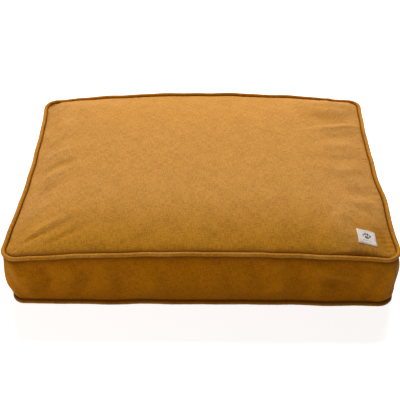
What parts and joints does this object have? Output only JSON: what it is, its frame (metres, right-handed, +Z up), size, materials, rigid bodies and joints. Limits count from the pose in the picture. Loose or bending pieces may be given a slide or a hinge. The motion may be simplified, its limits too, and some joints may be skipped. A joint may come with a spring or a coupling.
{
  "type": "pet cushion bed",
  "caption": "Rectangular boxed floor cushion for a pet: piped cloth cover with a zip along its back border, over a separate filled inner pad.",
  "frame": {"origin": "on the floor, under the middle of the bed", "axes": "+X along the long side, towards the label's side; -Y towards the front; +Z up"},
  "size_m": [0.8, 0.6003, 0.172],
  "materials": {
    "panel_cloth": "matte",
    "border_cloth": "matte",
    "piping_cloth": "matte",
    "cord_cotton": "matte",
    "liner_cloth": "matte",
    "fibre": "matte",
    "zip_tape": "matte",
    "zip_coil": "satin",
    "zip_metal": "satin",
    "label_tape": "matte"
  },
  "bodies": {
    "bed": {"top_panel": "panel_cloth", "bottom_panel": "panel_cloth", "border_band": "border_cloth", "zip_band_upper": "border_cloth", "zip_band_lower": "border_cloth", "top_piping_cover": "piping_cloth", "bottom_piping_cover": "piping_cloth", "top_piping_cord": "cord_cotton", "bottom_piping_cord": "cord_cotton", "liner_top": "liner_cloth", "liner_bottom": "liner_cloth", "liner_border": "liner_cloth", "filling": "fibre", "zip_tape_upper": "zip_tape", "zip_tape_lower": "zip_tape", "zip_coil_upper": "zip_coil", "zip_coil_lower": "zip_coil", "zip_top_stop_upper": "zip_metal", "zip_top_stop_lower": "zip_metal", "zip_bottom_stop": "zip_metal", "woven_label": "label_tape", "care_label": "label_tape"},
    "slider": {"zip_slider": "zip_metal"},
    "pull_tab": {"zip_pull_tab": "zip_metal"}
  },
  "joints": [
    {"name": "zip_slide", "type": "slide", "parent": "bed", "child": "slider", "axis": [-1, 0, 0], "range_m": [0, 0.569], "deforming": ["zip_coil_upper", "zip_coil_lower"]},
    {"name": "pull_tab_hinge", "type": "hinge", "parent": "slider", "child": "pull_tab", "pos_m": [0.285, 0.2984, 0.07], "axis": [0, 0, -1], "range_deg": [0, 180]}
  ]
}
